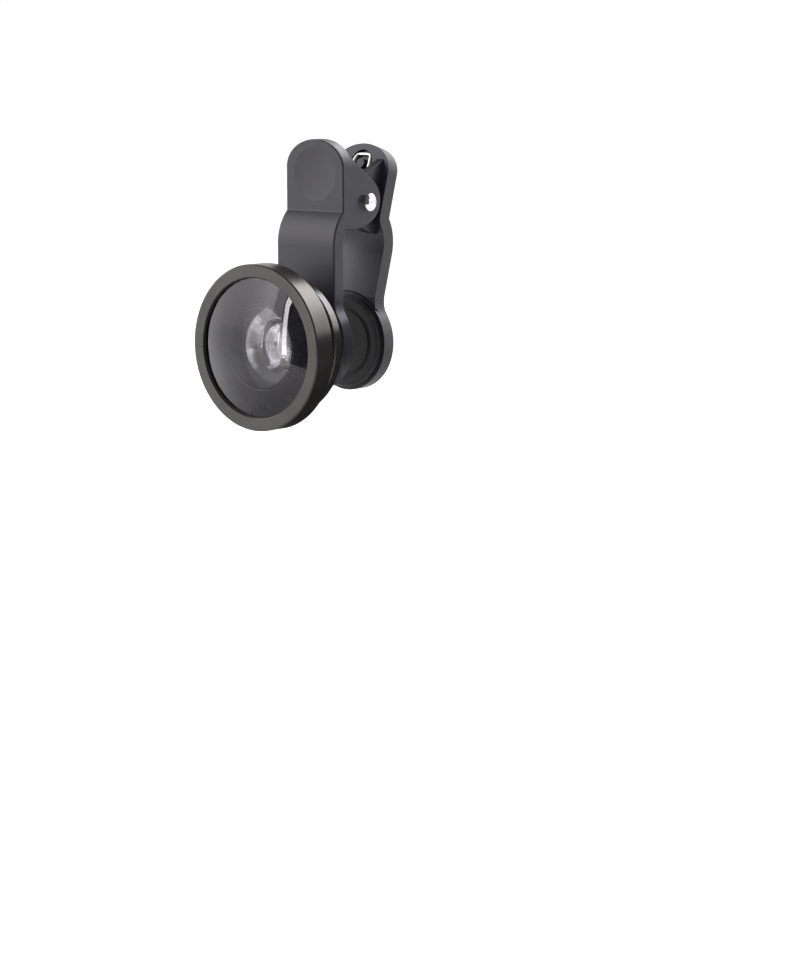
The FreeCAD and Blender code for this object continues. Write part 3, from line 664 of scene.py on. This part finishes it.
def threaded_mount():
    """The tapered rear of the lens, with the screw thread cut round its stub."""
    outside = [(CONE_BORE_R, -SPIGOT_FRONT), (SPIGOT_R, -SPIGOT_FRONT), (SPIGOT_R, -SHOULDER_FRONT)]
    outside += [(SHOULDER_R, -SHOULDER_FRONT), (SHOULDER_R, -SHOULDER_BACK)]
    outside += [(COLLAR_R, -COLLAR_FRONT), (COLLAR_R, -JAW_FACE)]
    runs = round((JAW_FACE - STUB_BACK) / THREAD_PITCH * THREAD_FINE)
    stub = [(STUB_R, -JAW_FACE + (JAW_FACE - STUB_BACK) * n / runs) for n in range(runs + 1)]
    bore = [(STUB_BORE_R, -STUB_BACK), (STUB_BORE_R, -STOP_SEAT)]
    bore += [(STOP_LAND_R, -STOP_SEAT), (STOP_LAND_R, -STOP_LAND_FRONT)]
    first = len(outside)

    def cut(k, angle):
        if not first <= k <= first + runs:
            return 0.0
        along = (k - first) / THREAD_FINE
        phase = (along - angle / FULL_TURN) % 1.0
        tooth = 1.0 - abs(2.0 * phase - 1.0)
        lead_in = (k - first) / THREAD_LEAD_IN
        run_out = (first + runs - k) / THREAD_RUN_OUT + THREAD_END_SHARE
        return -THREAD_DEPTH * tooth * min(1.0, lead_in, run_out)

    data = turned_mesh("threaded_mount", outside + stub + bore, THREAD_STEPS, shift=cut)
    piece = link("threaded_mount", data, BARREL_BLACK)
    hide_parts("rear_mount")
    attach(piece, "lens")


front_pad_ring()
rear_pad_disc()
spring_wire()
threaded_mount()


# Stage, light and camera


def background_share(tree, reflected):
    """1 for camera and transmission rays, a share for glossy rays, and 0 for rays that light surfaces."""
    path = add_node(tree, "ShaderNodeLightPath").outputs
    seen = math_node(tree, "MAXIMUM", path["Is Camera Ray"], times(tree, path["Is Glossy Ray"], reflected))
    return math_node(tree, "MAXIMUM", seen, path["Is Transmission Ray"])


def stage_floor():
    """Pale floor, a little brighter to the eye than its light makes it, so that it runs into the backdrop."""
    half = FLOOR_HALF
    corners = [(-half, -half), (half, -half), (half, half), (-half, half)]
    data = bpy.data.meshes.new("floor")
    data.from_pydata([(x, y, FLOOR_Z) for x, y in corners], [], [(0, 1, 2, 3)])
    material, tree, shader = new_material("floor_white")
    shader.inputs["Base Color"].default_value = (*FLOOR_TONE, 1.0)
    shader.inputs["Roughness"].default_value = 0.9
    shader.inputs["Emission Color"].default_value = WHITE
    away = add_node(tree, "ShaderNodeVectorMath", object_place(tree), operation="LENGTH").outputs["Value"]
    glow = spread(tree, away, FLOOR_NEAR, FLOOR_FAR, FLOOR_GLOW_NEAR, FLOOR_GLOW, smooth=True)
    strength = times(tree, background_share(tree, FLOOR_REFLECTED), glow)
    tree.links.new(strength, shader.inputs["Emission Strength"])
    link("floor", data, material)


def room_light():
    """Even white room. Reflections see a white backdrop under a darker ceiling in it."""
    world = bpy.data.worlds.new("studio")
    bpy.context.scene.world = world
    world.use_nodes = True
    tree = world.node_tree
    back = next(n for n in tree.nodes if n.type == "BACKGROUND")
    back.inputs["Color"].default_value = WHITE
    plain = spread(tree, background_share(tree, 0.0), 0.0, 1.0, AMBIENT, 1.0)
    rise = split(tree, add_node(tree, "ShaderNodeTexCoord").outputs["Generated"])["Z"]
    backdrop = spread(tree, rise, math.sin(BACKDROP_TOP), math.sin(CEILING_START), 1.0, CEILING)
    choice = add_node(tree, "ShaderNodeMix", add_node(tree, "ShaderNodeLightPath").outputs["Is Glossy Ray"])
    tree.links.new(plain, choice.inputs["A"])
    tree.links.new(backdrop, choice.inputs["B"])
    tree.links.new(choice.outputs["Result"], back.inputs["Strength"])


def heading(azimuth, elevation, distance):
    """Point at a compass heading from the lens: 0 is along -Y, 90 along +X."""
    turn, rise = math.radians(azimuth), math.radians(elevation)
    flat = math.cos(rise) * distance
    return Vector((math.sin(turn) * flat, -math.cos(turn) * flat, math.sin(rise) * distance))


def softbox(name, place, aim_z, size, radiance, unseen_by):
    """Rectangular lamp of a given radiance that faces a point over the origin. The camera doesn't see it."""
    width, height = size
    lamp = bpy.data.lights.new(name, "AREA")
    lamp.shape = "RECTANGLE"
    lamp.size = width
    lamp.size_y = height
    lamp.energy = radiance * math.pi * width * height
    box = bpy.data.objects.new(name, lamp)
    box.location = place
    box.rotation_euler = (Vector((0, 0, aim_z)) - place).to_track_quat("-Z", "Y").to_euler()
    box.visible_camera = False
    for ray in unseen_by:
        setattr(box, "visible_" + ray, False)
    bpy.context.scene.collection.objects.link(box)
    return box


def graded(box, across, upward):
    """Grades a softbox by ramps of (position, share): from left to right, as the lens sees it, and upward."""
    box.data.use_nodes = True
    tree = box.data.node_tree
    glow = next(n for n in tree.nodes if n.type == "EMISSION")
    spot = split(tree, add_node(tree, "ShaderNodeNewGeometry").outputs["Parametric"])
    from_left = math_node(tree, "SUBTRACT", 1.0, spot["X"])
    shares = [ramp(tree, place, [(position, (share,) * 3) for position, share in stops])
              for place, stops in ((from_left, across), (spot["Y"], upward))]
    tree.links.new(times(tree, *shares), glow.inputs["Strength"])


def lamps():
    for name, place, aim_z, size, radiance, unseen_by in LAMPS:
        box = softbox(name, heading(*place), aim_z, size, radiance, unseen_by)
        if name in LAMP_GRADES:
            graded(box, *LAMP_GRADES[name])
        if name in LAMP_LEANS:
            box.rotation_euler.rotate_axis("Z", math.radians(LAMP_LEANS[name]))


def dark_card(name, corners, tone, behind_glass=True):
    """A dark card, like a studio flag: reflections see it, and so do rays through glass if behind_glass."""
    data = bpy.data.meshes.new(name)
    data.from_pydata([Vector(c) for c in corners], [], [(0, 1, 2, 3)])
    material, tree, shader = new_material(name)
    shader.inputs["Base Color"].default_value = (*tone, 1.0)
    shader.inputs["Roughness"].default_value = 1.0
    shader.inputs["Specular IOR Level"].default_value = 0.0
    card = link(name, data, material)
    card.visible_camera = False
    card.visible_diffuse = False
    card.visible_shadow = False
    card.visible_transmission = behind_glass


def cards():
    for name, start, stop, rise, tone in CARDS:
        a, b = (heading(azimuth, 0.0, distance) for azimuth, distance in (start, stop))
        corners = [(a.x, a.y, FLOOR_Z), (b.x, b.y, FLOOR_Z), (b.x, b.y, rise), (a.x, a.y, rise)]
        dark_card(name, corners, tone)
    for name, (left_x, low_z, right_x, high_z) in DEVICE_CARDS.items():
        corners = [(left_x, low_z), (right_x, low_z), (right_x, high_z), (left_x, high_z)]
        dark_card(name, [(x, DEVICE_Y, z) for x, z in corners], DEVICE_TONE, behind_glass=False)


def camera():
    data = bpy.data.cameras.new("camera")
    data.lens = CAMERA_LENS
    data.sensor_width = SENSOR
    data.clip_start = CAMERA_NEAR
    data.clip_end = CAMERA_FAR
    eye = bpy.data.objects.new("camera", data)
    eye.location = CAMERA_PLACE
    eye.rotation_euler = [math.radians(a) for a in CAMERA_ANGLES]
    bpy.context.scene.collection.objects.link(eye)
    bpy.context.scene.camera = eye


stage_floor()
room_light()
lamps()
cards()
camera()
bpy.context.scene.view_settings.view_transform = "Standard"

bpy.context.view_layer.update()
